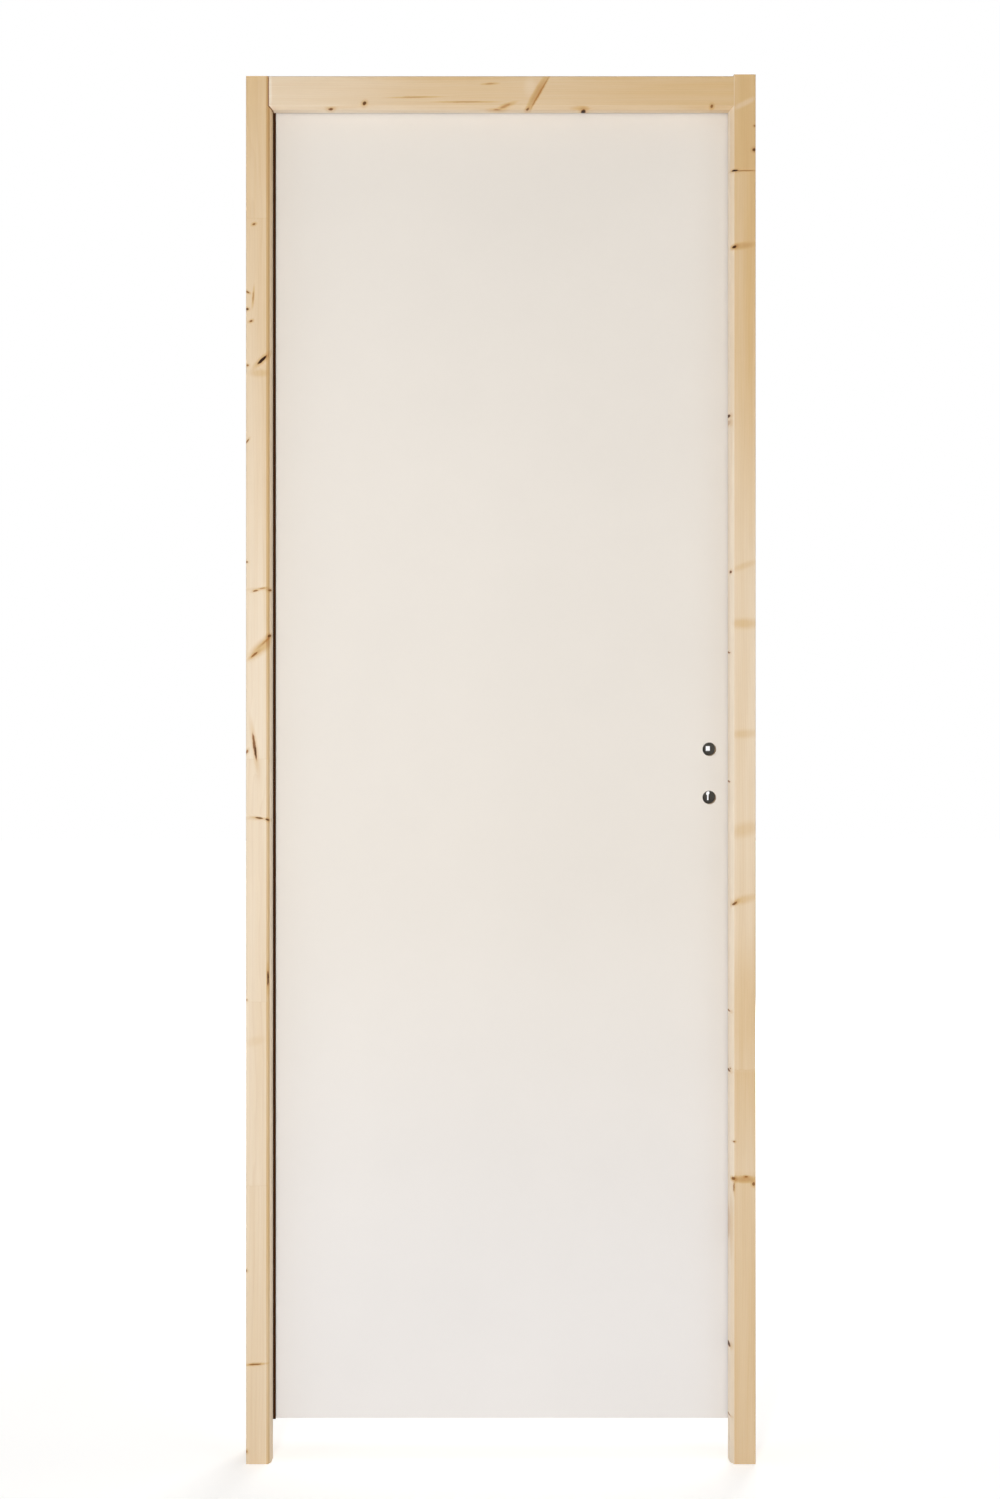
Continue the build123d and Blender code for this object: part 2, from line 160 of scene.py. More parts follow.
class DoorScrewSettings(bpy.types.PropertyGroup):
    """Countersunk screws in the plates."""

    head_radius: size_setting("Head radius", "Radius of the countersunk head", 4.15)
    shank_radius: size_setting("Shank radius", "Radius below the head", 2.05)
    sunk: size_setting("Sunk by", "How far the head sits below the plate's face", 0.08)
    recess_reach: size_setting("Recess reach", "Half the length of the cross recess", 2.3)
    recess_width: size_setting("Recess width", "Half the width of each arm of the cross", 0.55)
    recess_depth: size_setting("Recess depth", "Depth of the cross recess", 1.3)


class DoorStageSettings(bpy.types.PropertyGroup):
    """Camera, lamps and floor."""

    camera_x: number_setting("Camera X", "Camera's place across", 0.296, unit="LENGTH")
    camera_z: number_setting("Camera height", "Camera's height", 1.291, unit="LENGTH")
    distance: number_setting("Distance", "Camera to the frame's face", 3.588, unit="LENGTH")
    lens: number_setting("Lens", "Focal length in millimetres", 55.9, min=10.0)
    shift_x: number_setting("Shift X", "Sideways shift of the lens", 0.0414)
    shift_y: number_setting("Shift Y", "Upward shift of the lens", -0.1044)
    key: power_setting("Key lamp", "Soft lamp at the front", 99.0)
    side: power_setting("Side lamp", "Soft lamp at the left", 18.0)
    fill: power_setting("Fill lamp", "Soft lamp at the right", 28.0)
    rear: power_setting("Rear lamp", "Soft lamp behind", 100.0)
    ambient: share_setting("Ambient", "Light from all round", 0.30)
    near_glow: share_setting("Glow at the door", "How far the floor there is lifted to white", 0.44)
    far_glow: share_setting("Glow far off", "How far the distant floor is lifted to white", 0.76)
    floor: colour_setting("Floor", "Pale studio floor", "F2F1EF")


SETTINGS = {
    "door_timber": DoorTimberSettings,
    "door_leaf": DoorLeafSettings,
    "door_metal": DoorMetalSettings,
    "door_screws": DoorScrewSettings,
    "door_stage": DoorStageSettings,
}


# Shader building


def taken_from(start, end):
    """The two values that a range starts and ends with."""
    return {"From Min": start, "From Max": end}


def carried_to(low, high):
    """What a range makes of its start and its end."""
    return {"To Min": low, "To Max": high}


# Most values of a noise texture lie between these
NOISE_LOW, NOISE_HIGH = 0.3, 0.7
NOISE_RANGE = taken_from(NOISE_LOW, NOISE_HIGH)
# Settings of nodes that rise smoothly, blend two colours or multiply them
SMOOTH = {"interpolation_type": "SMOOTHSTEP"}
BLENDED = {"data_type": "RGBA"}
MULTIPLIED = {"data_type": "RGBA", "blend_type": "MULTIPLY"}
WHITE = (1.0, 1.0, 1.0, 1.0)
# Relief of a moulded or sprayed surface
DULL_RELIEF = {"depth": 0.05 * MM, "strength": 0.3}


def blank_material(name):
    """A new node material: its tree, its shader and its Object coordinates."""
    material = bpy.data.materials.new(name)
    material.use_nodes = True
    tree = material.node_tree
    shader = tree.nodes["Principled BSDF"]
    place = tree.nodes.new("ShaderNodeTexCoord").outputs["Object"]
    return material, tree, shader, place


def add(tree, kind, inputs, **settings):
    """Adds a node with its settings, sets or links its inputs and returns its first output."""
    node = tree.nodes.new("ShaderNode" + kind)
    for name, value in settings.items():
        setattr(node, name, value)
    sockets = [socket for socket in node.inputs if socket.enabled]
    for key, value in inputs.items():
        if isinstance(key, str):
            socket = next(socket for socket in sockets if socket.name == key)
        else:
            socket = sockets[key]
        if isinstance(value, bpy.types.NodeSocket):
            tree.links.new(value, socket)
        else:
            socket.default_value = value
    return next(socket for socket in node.outputs if socket.enabled)


def set_stops(ramp_output, stops):
    """Gives a colour ramp its stops, each a place from 0 to 1 and a grey level or a colour."""
    ramp = ramp_output.node.color_ramp
    while len(ramp.elements) > 1:
        ramp.elements.remove(ramp.elements[-1])
    for index, (place, level) in enumerate(stops):
        element = ramp.elements[0] if index == 0 else ramp.elements.new(place)
        element.position = place
        grey = [level] * 3 if isinstance(level, float) else list(level)
        element.color = [*grey, 1.0]
    return ramp_output


def toned(tree, noise, colour, dark, light):
    """A colour that noise carries from a dark share of itself to a light one."""
    return set_stops(
        add(tree, "ValToRGB", {0: noise}),
        [
            (NOISE_LOW, [c * dark for c in colour]),
            (NOISE_HIGH, [min(1.0, c * light) for c in colour]),
        ],
    )


def fold(tree, operation, values):
    """Folds sockets or numbers into one by a Math operation."""
    result = values[0]
    for value in values[1:]:
        result = add(tree, "Math", {0: result, 1: value}, operation=operation)
    return result


def drawn_out_noise(tree, place, across, along, detail):
    """Noise whose cells are this wide and deep, and this long in the third direction."""
    scale = (1 / across, 1 / across, 1 / along)
    scaled = add(tree, "Mapping", {"Vector": place, "Scale": scale})
    return add(tree, "TexNoise", {"Vector": scaled, "Scale": 1.0, "Detail": detail})


def set_surface(tree, shader, colour, rough, height, strength, depth, specular=0.5):
    """Links a shader's colour, roughness and bump, and sets its specular level."""
    tree.links.new(colour, shader.inputs["Base Color"])
    tree.links.new(rough, shader.inputs["Roughness"])
    bump = add(tree, "Bump", {"Height": height, "Strength": strength, "Distance": depth})
    tree.links.new(bump, shader.inputs["Normal"])
    shader.inputs["Specular IOR Level"].default_value = specular


def background_rays(tree):
    """A share that is 1 for the rays that see the background: camera, glossy and transmission."""
    seen = tree.nodes.new("ShaderNodeLightPath").outputs
    kinds = ("Is Camera Ray", "Is Glossy Ray", "Is Transmission Ray")
    return fold(tree, "MAXIMUM", [seen[kind] for kind in kinds])


def dress(material, *nodes):
    """Gives CAD nodes their material in place of the plain one they came with."""
    for node in nodes:
        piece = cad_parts[node]
        piece.data.materials.clear()
        piece.data.materials.append(material)


# Frame timber
# Each member lists, in millimetres along the grain, the lengths it is glued up from: where
# each starts, and how warm its wood is there and at its far end, from 0 for pale through 0.5
# for honey to 1 for amber. Then come the end of the last length, the knots and the soft bands
# on the push side, as x, z, half length, half width, tilt in degrees and strength, the knots
# on the reveal and those on the pull side, the number that picks its piths, and its moulding
# with the moulding's painted shade and painted light.

Member = namedtuple(
    "Member", "node along lengths end knots bands reveal_knots far_knots seed moulding"
)
# A moulding starts at a line across the member and runs to that side, 1 or -1. It is painted
# warmer or paler than the flat, as painted shade and painted light for how the lamps fall on
# the bevel and the reveal: by one share down to a depth behind the frame's face, and by another
# share below it, on the reveal.
Moulding = namedtuple("Moulding", "start side bevel turn reveal")

HINGE_JAMB = Member(
    node="hinge_jamb",
    along=2,
    lengths=(
        (-52.0, 0.25, 0.18),
        (377.0, 0.15, 0.14),
        (660.6, 0.15, 0.10),
        (1035.1, 0.09, 0.32),
        (1869.0, 0.34, 0.44),
    ),
    end=2088.0,
    knots=(
        (12.4, 1859.7, 2.2, 1.4, 20, 0.55),
        (2.7, 1754.9, 2.6, 1.2, -30, 0.6),
        (2.1, 1728.7, 2.0, 1.6, 0, 0.8),
        (7.8, 1710.2, 2.4, 1.4, 25, 0.6),
        (11.2, 1747.2, 8.0, 0.9, 85, 0.3),
        (25.0, 1650.3, 8.8, 2.2, 43, 1.0),
        (2.7, 1642.0, 1.6, 1.4, 0, 0.5),
        (2.4, 1525.3, 3.4, 1.0, 55, 0.6),
        (1.3, 1338.8, 1.6, 1.3, 0, 0.6),
        (14.7, 1294.4, 3.5, 1.2, 15, 0.5),
        (25.0, 1298.2, 4.0, 0.9, 10, 0.3),
        (37.1, 1295.2, 2.6, 1.6, 0, 0.6),
        (36.3, 1224.7, 3.0, 2.2, 30, 0.7),
        (31.0, 1217.5, 9.0, 1.0, 43, 0.25),
        (13.0, 1196.0, 6.0, 1.3, 40, 0.55),
        (13.4, 1054.0, 19.0, 2.0, 98, 0.62),
        (14.8, 1046.0, 10.0, 1.0, 98, 0.9),
        (1.6, 1046.4, 3.2, 1.6, 60, 0.45),
        (20.4, 944.2, 5.5, 1.1, -8, 0.75),
        (33.2, 941.6, 3.0, 1.5, -20, 0.8),
        (34.0, 697.0, 10.5, 1.1, 90, 0.9),
        (0.8, 663.7, 1.5, 1.2, 0, 0.4),
        (0.2, 246.3, 1.8, 1.8, 0, 0.7),
        (13.6, 101.9, 9.0, 1.0, 4, 0.6),
        (0.4, -32.5, 1.6, 2.0, 0, 0.4),
    ),
    bands=(
        (20.0, 1630.0, 15.0, 6.0, 0, 0.16),
        (24.0, 1207.5, 25.0, 8.5, 43, 0.40),
        (20.0, 1297.0, 22.0, 3.0, 3, 0.14),
        (14.0, 943.5, 18.0, 3.0, -4, 0.15),
        (14.0, 600.0, 16.0, 7.0, 15, 0.08),
        (13.6, 102.0, 15.0, 3.0, 4, 0.16),
        (34.0, 80.0, 170.0, 4.0, 90, -0.14),
    ),
    reveal_knots=(),
    far_knots=((14.0, 1420.0, 7.0, 5.0, 10, 0.7), (20.0, 690.0, 9.0, 5.0, -15, 0.6)),
    seed=1.0,
    moulding=Moulding(31.2, 1, 0.30, 4.4, -0.07),
)

LOCK_JAMB = Member(
    node="lock_jamb",
    along=2,
    lengths=(
        (-52.0, 0.37, 0.34),
        (392.4, 0.26, 0.38),
        (555.8, 0.30, 0.46),
        (1941.4, 0.53, 0.51),
    ),
    end=2090.5,
    knots=(
        (783.4, 1974.3, 2.4, 2.2, 0, 0.8),
        (784.1, 2011.1, 1.3, 1.2, 0, 0.5),
        (753.8, 1942.2, 4.6, 1.4, 2, 1.0),
        (767.0, 1942.0, 17.0, 0.7, 1, 0.4),
        (753.0, 1824.6, 3.2, 1.8, 25, 0.95),
        (747.9, 1323.4, 2.4, 1.6, 80, 0.8),
        (753.5, 812.4, 4.2, 1.6, 38, 0.7),
        (746.4, 556.3, 1.9, 1.7, 0, 0.8),
        (752.5, 445.3, 1.6, 1.2, 0, 0.5),
        (751.8, 388.2, 2.6, 2.2, 0, 0.6),
        (771.0, 391.3, 2.4, 1.2, 0, 0.5),
        (782.6, 380.1, 2.6, 2.2, 90, 0.6),
        (752.3, 375.0, 6.5, 0.9, 90, 0.45),
    ),
    bands=(
        (769.0, 2046.0, 18.0, 4.5, 27, -0.16),
        (763.0, 1826.0, 22.0, 5.0, 8, 0.28),
        (768.0, 1333.0, 22.0, 5.0, 20, 0.14),
        (768.0, 1244.0, 26.0, 8.0, 0, 0.22),
        (748.0, 825.0, 60.0, 5.0, 90, 0.14),
        (768.0, 1074.0, 26.0, 6.5, 3, 0.15),
        (767.0, 926.0, 26.0, 11.0, 14, 0.16),
        (766.0, 818.0, 24.0, 6.5, 14, 0.20),
        (767.0, 387.0, 23.0, 5.0, 0, 0.42),
        (768.0, 655.0, 90.0, 26.0, 90, 0.10),
        (760.0, 1120.0, 380.0, 60.0, 90, -0.18),
    ),
    reveal_knots=(
        (746.8, 1565.0, 2.6, 2.2, 0, 0.9),
        (746.8, 1554.5, 3.5, 2.6, 90, 0.2),
        (746.8, 1198.8, 2.6, 1.3, 0, 0.55),
        (746.8, 999.2, 2.6, 1.3, 0, 0.5),
        (746.8, 644.7, 2.6, 1.5, 0, 0.45),
        (746.8, 552.2, 2.6, 1.8, 0, 0.7),
        (746.8, 317.6, 24.0, 2.6, 90, 0.14),
        (746.8, 128.2, 3.4, 2.6, 90, 0.9),
        (746.8, 19.7, 2.6, 1.3, 0, 0.45),
    ),
    far_knots=((770.0, 1500.0, 8.0, 5.0, -10, 0.7), (765.0, 320.0, 6.0, 4.0, 20, 0.6)),
    seed=2.0,
    moulding=Moulding(753.0, -1, -0.30, 8.0, -0.50),
)

HEAD = Member(
    node="head",
    along=0,
    lengths=((23.0, 0.20, 0.47),),
    end=765.0,
    knots=(
        (130.3, 2038.1, 4.0, 1.4, 3, 0.75),
        (182.7, 2045.8, 3.0, 2.4, 50, 0.85),
        (259.0, 2055.2, 18.0, 0.7, 1, 0.2),
        (341.0, 2048.0, 22.0, 0.7, 0, 0.22),
        (387.0, 2037.3, 8.0, 1.0, 0, 0.35),
        (376.0, 2076.0, 6.0, 0.8, 3, 0.25),
        (400.0, 2042.0, 8.0, 1.6, 20, 0.3),
        (434.0, 2037.5, 3.2, 1.6, 35, 0.7),
        (453.0, 2062.0, 26.0, 0.9, 60, 0.35),
        (718.3, 2041.6, 2.2, 1.8, 90, 0.6),
    ),
    bands=(
        (157.0, 2041.0, 42.0, 2.2, 2, 0.10),
        # Painted highlight on the head's arris beside its butt joint
        (38.0, 2066.0, 26.0, 2.2, 90, -0.18),
        (448.8, 2062.4, 30.0, 5.0, 60, 0.40),
        (438.0, 2071.0, 14.0, 9.0, 90, -0.10),
        (705.0, 2039.0, 40.0, 3.5, 0, 0.08),
        (315.0, 2062.0, 110.0, 40.0, 0, 0.07),
        (516.0, 2037.0, 16.0, 5.0, 0, 0.24),
        (300.0, 2084.0, 130.0, 3.0, 0, 0.10),
        (560.0, 2084.0, 70.0, 2.5, 0, 0.10),
    ),
    reveal_knots=((521.2, 2037.6, 3.6, 2.4, 0, 1.0),),
    far_knots=((300.0, 2060.0, 8.0, 5.0, 0, 0.7), (610.0, 2050.0, 7.0, 4.0, 20, 0.6)),
    seed=3.0,
    moulding=Moulding(2043.0, -1, -0.10, 8.0, -0.22),
)

# Soft edge of the moulding's painted shade and light, and the depth of the reveal's middle behind
# the face
PAINTED_SHADE_EDGE = 0.8 * MM
REVEAL_MIDDLE = 20.0 * MM
# Painted shadow in the head's butt joint with the hinge jamb and in its mitre, which is where
# x + z is this much, how far from the frame's side both reach, and the shadow's width and darkness
BUTT = 34.4 * MM
MITRE = 2077.0 * MM
CORNER = 3 * BUTT
JOINT_SHADOW_WIDTH = 2.0 * MM
JOINT_SHADOW_SHARE = 0.62
# How far a knot on a face reaches into the wood, and how much and how finely it wavers
KNOT_DEPTH = 12.0 * MM
KNOT_WAVER = 1.4 * MM
WAVER_SIZE = 5.0 * MM
# Where a knot's dark heart, its warm rim, the swelling of the rings round it and a soft band
# begin and are full, as distances in the spot's own radii
HEART_EDGE = taken_from(1.35, 0.75)
RIM_EDGE = taken_from(3.2, 1.0)
SWELL_EDGE = taken_from(6.0, 0.8)
BAND_EDGE = taken_from(1.5, 0.3)
RIM_WARMTH = 0.22
SWELL = 3.0 * MM
# A heart turns from resin to knot: colour, the dark where it starts and is full, and its share
HEART_STEPS = (("resin", 0.0, 0.45, 0.85), ("knot", 0.3, 1.0, 1.0))
# Fingers of the finger joints, cut across the member's depth, and width of a glue line in mm
FINGER_PITCH = 3.8 * MM
FINGER_LENGTH = 10.0 * MM
GLUE_LINE = 0.25
GLUE_TINT = (0.84, 0.75, 0.62, 1.0)
# Range and start of the pith line of a glued length, in metres across, deep and along
PITH_RANGE = (0.16, 0.10, 3.0)
PITH_START = (-0.08, 0.02, 0.0)
# How far the rings wander, and over what sizes across and along the grain
WANDER = 26.0 * MM
WANDER_SIZE = (60.0 * MM, 650.0 * MM)
# How late the wood is across one ring: it grows dark slowly and ends sharply
LATE_WOOD = ((0.0, 0.05), (0.5, 0.12), (0.82, 0.6), (0.94, 1.0), (1.0, 0.05))
# The broad tone's sizes across and along the grain, and its reach in warmth
BROAD_SIZE = (14.0 * MM, 420.0 * MM)
BROAD_WARMTH = carried_to(-0.06, 0.06)
# Length of a fibre, the levels of its noise that are darkest and lightest, and their shades
FIBRE_LENGTH = 28.0 * MM
FIBRE_LEVELS = taken_from(0.25, 0.75)
FIBRE_SHADES = carried_to(0.975, 1.02)
# Roughness between the fibres and on them, and what a dark heart adds, since it is dry
WOOD_ROUGHNESS = carried_to(0.62, 0.50)
HEART_ROUGHNESS = 0.3
# How high the late wood stands beside a fibre, how high fibres stand and how clearly
LATE_RELIEF = 0.4
WOOD_RELIEF = {"depth": 0.06 * MM, "strength": 0.35}


def spot(tree, place, x, y, z, long, wide, tilt):
    """Distance from a tilted ellipsoid's centre, in its own radii, so that 1 is its surface."""
    local = add(
        tree,
        "Mapping",
        {
            "Vector": place,
            "Location": (x * MM, y, z * MM),
            "Rotation": (0.0, -math.radians(tilt), 0.0),
            "Scale": (long * MM, KNOT_DEPTH, wide * MM),
        },
        vector_type="TEXTURE",
    )
    return add(tree, "VectorMath", {0: local}, operation="LENGTH")


def painted_moulding_shade_and_light(tree, moulding, across, depth):
    """Painted shade and painted light on the moulding, as warmth: one share down to its turn,
    another on to the leaf.
    """
    start, side, bevel, turn, reveal = moulding
    line = FRONT + turn * MM
    tints = []
    for low, high, share in (
        (FRONT - PAINTED_SHADE_EDGE, FRONT, bevel),
        (line - PAINTED_SHADE_EDGE / 2, line + PAINTED_SHADE_EDGE / 2, reveal - bevel),
        (LEAF_FRONT - PAINTED_SHADE_EDGE, LEAF_FRONT, -reveal),
    ):
        rise = {"Value": depth, **taken_from(low, high), "To Max": share}
        tints.append(add(tree, "MapRange", rise))
    operation = "GREATER_THAN" if side > 0 else "LESS_THAN"
    inside = add(tree, "Math", {0: across, 1: start * MM}, operation=operation)
    return fold(tree, "MULTIPLY", [inside, fold(tree, "ADD", tints)])


def painted_joint_shadow(tree, along, across, moulding):
    """A share that is 1 along the head's butt joint with the hinge jamb and along its mitre: a
    painted shadow of a joint gap.
    """
    sum_of_both = add(tree, "Math", {0: along, 1: across}, operation="ADD")
    on_butt, on_mitre = [
        add(tree, "Math", {0: value, 1: line, 2: JOINT_SHADOW_WIDTH / 2}, operation="COMPARE")
        for value, line in ((along, BUTT), (sum_of_both, MITRE))
    ]
    on_flat = add(tree, "Math", {0: across, 1: moulding.start * MM}, operation="GREATER_THAN")
    at_corner = add(tree, "Math", {0: along, 1: CORNER}, operation="LESS_THAN")
    butt = add(tree, "Math", {0: on_butt, 1: on_flat}, operation="MULTIPLY")
    mitre = add(tree, "Math", {0: on_mitre, 1: on_flat}, operation="SUBTRACT", use_clamp=True)
    return fold(tree, "MULTIPLY", [fold(tree, "MAXIMUM", [butt, mitre]), at_corner, JOINT_SHADOW_SHARE])


def glued_lengths(tree, member, along, depth):
    """Number and warmth of the length at a place, and a share that is 1 on a glue line.

    The line of a finger joint zigzags over the member's depth and is straight on its face.
    """
    behind = add(tree, "Math", {0: depth, 1: FRONT}, operation="SUBTRACT")
    fingers = add(tree, "Math", {0: behind, 1: FINGER_PITCH / 2}, operation="PINGPONG")
    slope = FINGER_LENGTH * 2 / FINGER_PITCH
    joined = add(tree, "Math", {0: fingers, 1: slope, 2: along}, operation="MULTIPLY_ADD")
    starts = [length[0] for length in member.lengths]
    passed, glued = [], []
    for joint in starts[1:]:
        at_joint = {0: joined, 1: joint * MM}
        passed.append(add(tree, "Math", at_joint, operation="GREATER_THAN"))
        at_joint[2] = GLUE_LINE / 2 * MM
        glued.append(add(tree, "Math", at_joint, operation="COMPARE"))
    number = fold(tree, "ADD", [member.seed, *passed])
    glue = fold(tree, "MAXIMUM", [0.0, *glued])
    ends = taken_from(starts[0] * MM, member.end * MM)
    share = add(tree, "MapRange", {"Value": joined, **ends})
    span = member.end - starts[0]
    stops = []
    for (start, near_end, far_end), stop in zip(member.lengths, [*starts[1:], member.end]):
        stops.append(((start + GLUE_LINE / 2 - starts[0]) / span, near_end))
        stops.append(((stop - GLUE_LINE / 2 - starts[0]) / span, far_end))
    return number, set_stops(add(tree, "ValToRGB", {0: share}), stops), glue


def knots_and_bands(tree, member, place):
    """Distance of the nearest knot, darkness of each heart and warmth of each band."""
    waver = add(tree, "TexNoise", {"Vector": place, "Scale": 1 / WAVER_SIZE, "Detail": 2.0})
    waver = add(
        tree,
        "VectorMath",
        {0: waver.node.outputs["Color"], 1: (KNOT_WAVER,) * 3, 2: (-KNOT_WAVER / 2,) * 3},
        operation="MULTIPLY_ADD",
    )
    wavered = add(tree, "VectorMath", {0: place, 1: waver}, operation="ADD")
    distances, hearts, bands = [], [], []
    for face, knots in (
        (FRONT, member.knots),
        (FRONT + REVEAL_MIDDLE, member.reveal_knots),
        (BACK, member.far_knots),
    ):
        for x, z, long, wide, tilt, dark in knots:
            distance = spot(tree, wavered, x, face, z, long, wide, tilt)
            distances.append(distance)
            rise = {"Value": distance, **HEART_EDGE, "To Max": dark}
            hearts.append(add(tree, "MapRange", rise, **SMOOTH))
    for x, z, long, wide, tilt, strength in member.bands:
        distance = spot(tree, wavered, x, FRONT, z, long, wide, tilt)
        rise = {"Value": distance, **BAND_EDGE, "To Max": strength}
        bands.append(add(tree, "MapRange", rise, **SMOOTH))
    return fold(tree, "MINIMUM", distances), hearts, bands


def from_pith(tree, number, across, depth, along):
    """Place in a glued length, measured from a point of its own pith line."""
    chance = add(tree, "TexWhiteNoise", {"W": number}, noise_dimensions="1D")
    pith = add(
        tree,
        "VectorMath",
        {0: chance.node.outputs["Color"], 1: PITH_RANGE, 2: PITH_START},
        operation="MULTIPLY_ADD",
    )
    board = add(tree, "CombineXYZ", {0: across, 1: depth, 2: along})
    return add(tree, "VectorMath", {0: board, 1: pith}, operation="SUBTRACT")


def growth_rings(tree, board, swell, spacing):
    """How late the wood is, from 0 to 1: rings about the pith that wander and swell at knots."""
    drift = drawn_out_noise(tree, board, *WANDER_SIZE, detail=3.0)
    wander = add(
        tree,
        "VectorMath",
        {0: drift.node.outputs["Color"], 1: (WANDER, WANDER, 0.0), 2: board},
        operation="MULTIPLY_ADD",
    )
    flat = add(tree, "VectorMath", {0: wander, 1: (1.0, 1.0, 0.0)}, operation="MULTIPLY")
    radius = add(tree, "VectorMath", {0: flat}, operation="LENGTH")
    radius = add(tree, "Math", {0: radius, 1: swell}, operation="ADD")
    turns = add(tree, "Math", {0: radius, 1: spacing}, operation="DIVIDE")
    ring = add(tree, "Math", {0: turns}, operation="FRACT")
    return set_stops(add(tree, "ValToRGB", {0: ring}), LATE_WOOD)


def softwood_colour(tree, timber, warmth, late_share, fibre):
    """Pale wood through honey to amber, with darker late wood and fine fibres."""
    wood = set_stops(
        add(tree, "ValToRGB", {0: warmth}),
        [(0.0, timber.pale), (0.5, timber.honey), (1.0, timber.amber)],
    )
    amber = (*timber.amber, 1.0)
    wood = add(tree, "Mix", {"Factor": late_share, "A": wood, "B": amber}, **BLENDED)
    shade = add(tree, "MapRange", {"Value": fibre, **FIBRE_LEVELS, **FIBRE_SHADES})
    return add(tree, "Mix", {"Factor": 1.0, "A": wood, "B": shade}, **MULTIPLIED)


def planed_softwood(name, member, timber):
    """Planed, finger-jointed spruce, unfinished.

    Growth rings are cylinders about a pith line that differs from one glued length to the
    next, so the faces show long grain and the ends show arcs. The late wood of each ring is
    darker and ends sharply. Knots push the rings aside and have a dark heart and a warm rim.
    To the eye this is a pale, dry, slightly silky wood with fine lines along its length.
    """
    material, tree, shader, place = blank_material(name)
    axes = add(tree, "SeparateXYZ", {0: place}).node.outputs
    along, across, depth = axes[member.along], axes[2 - member.along], axes[1]
    number, warmth, glue = glued_lengths(tree, member, along, depth)
    nearest, hearts, tints = knots_and_bands(tree, member, place)
    # The joints' painted shadow darkens the wood as the knots' hearts do
    if member is HEAD:
        hearts.append(painted_joint_shadow(tree, along, across, member.moulding))
    heart = fold(tree, "MAXIMUM", hearts)
    # The moulding's painted shade and painted light join the warmth
    if member.moulding:
        tints.append(painted_moulding_shade_and_light(tree, member.moulding, across, depth))
    warmth = fold(tree, "ADD", [warmth, *tints])

    # Rings, broad tone and fine fibre, all drawn out along the grain
    swell, rim = [
        add(tree, "MapRange", {"Value": nearest, **edge, "To Max": most}, **SMOOTH)
        for edge, most in ((SWELL_EDGE, SWELL), (RIM_EDGE, RIM_WARMTH))
    ]
    board = from_pith(tree, number, across, depth, along)
    late = growth_rings(tree, board, swell, timber.ring_spacing)
    broad = drawn_out_noise(tree, board, *BROAD_SIZE, detail=4.0)
    fibre = drawn_out_noise(tree, board, timber.fibre, FIBRE_LENGTH, detail=3.0)
    streaks = add(tree, "MapRange", {"Value": broad, **NOISE_RANGE, **BROAD_WARMTH})
    warmth = add(tree, "Math", {0: warmth, 1: streaks}, operation="ADD")
    warmth = add(tree, "Math", {0: warmth, 1: rim}, operation="ADD", use_clamp=True)
    late_share = fold(tree, "MULTIPLY", [late, timber.ring_strength, broad])
    wood = softwood_colour(tree, timber, warmth, late_share, fibre)

    # Hearts and glue lines
    for colour_name, low, high, share in HEART_STEPS:
        colour = (*getattr(timber, colour_name), 1.0)
        rise = {"Value": heart, **taken_from(low, high), "To Max": share}
        covered = add(tree, "MapRange", rise)
        wood = add(tree, "Mix", {"Factor": covered, "A": wood, "B": colour}, **BLENDED)
    wood = add(tree, "Mix", {"Factor": glue, "A": wood, "B": GLUE_TINT}, **MULTIPLIED)

    # Planed surface: fibres stand a few hundredths of a millimetre proud
    rough = add(tree, "MapRange", {"Value": fibre, **WOOD_ROUGHNESS})
    rough = add(tree, "Math", {0: heart, 1: HEART_ROUGHNESS, 2: rough}, operation="MULTIPLY_ADD")
    relief = add(tree, "Math", {0: late, 1: LATE_RELIEF, 2: fibre}, operation="MULTIPLY_ADD")
    set_surface(tree, shader, wood, rough, relief, **WOOD_RELIEF, specular=0.3)
    return material


# The leaf's core shows only at its edges and in the lock holes
STILES = Member(
    node="stiles",
    along=2,
    lengths=((8.0, 0.22, 0.18), (310.0, 0.28, 0.24), (905.0, 0.16, 0.2), (1490.0, 0.24, 0.3)),
    end=2048.0,
    knots=((28.0, 640.0, 3.0, 4.0, 90, 0.7), (758.0, 1330.0, 3.0, 5.0, 90, 0.7)),
    bands=(),
    reveal_knots=(),
    far_knots=((28.0, 1190.0, 4.0, 5.0, 90, 0.8), (758.0, 420.0, 4.0, 4.0, 90, 0.8)),
    seed=7.0,
    moulding=None,
)
RAILS = STILES._replace(
    node="rails", along=0, lengths=((28.0, 0.2, 0.22), (260.0, 0.26, 0.22)), end=758.0
)
LOCK_BLOCK = STILES._replace(node="lock_block", lengths=((860.0, 0.3, 0.3),), end=1150.0, seed=9.0)


class DOOR_OT_timber(bpy.types.Operator):
    """Finish the two jambs and the head as planed, knotty softwood"""

    bl_idname = "door.timber"
    bl_label = "Frame Timber"

    def execute(self, context):
        timber = context.scene.door_timber
        for member in (HINGE_JAMB, LOCK_JAMB, HEAD):
            dress(planed_softwood(f"planed_spruce_{member.node}", member, timber), member.node)
        return {"FINISHED"}


class DOOR_OT_core(bpy.types.Operator):
    """Finish the leaf's stiles, rails and lock block as plain sawn softwood"""

    bl_idname = "door.core"
    bl_label = "Leaf Core"

    def execute(self, context):
        timber = context.scene.door_timber
        for member, nodes in (
            (STILES, ("hinge_stile", "lock_stile")),
            (RAILS, ("leaf_top_rail", "leaf_bottom_rail")),
            (LOCK_BLOCK, ("lock_block",)),
        ):
            dress(planed_softwood(f"sawn_spruce_{member.node}", member, timber), *nodes)
        return {"FINISHED"}


# Leaf skins and seals

# Heights between which the primer is painted whiter towards the foot, as painted light from the
# floor
PAINTED_FLOOR_LIGHT_RISE = taken_from(950.0 * MM, 100.0 * MM)
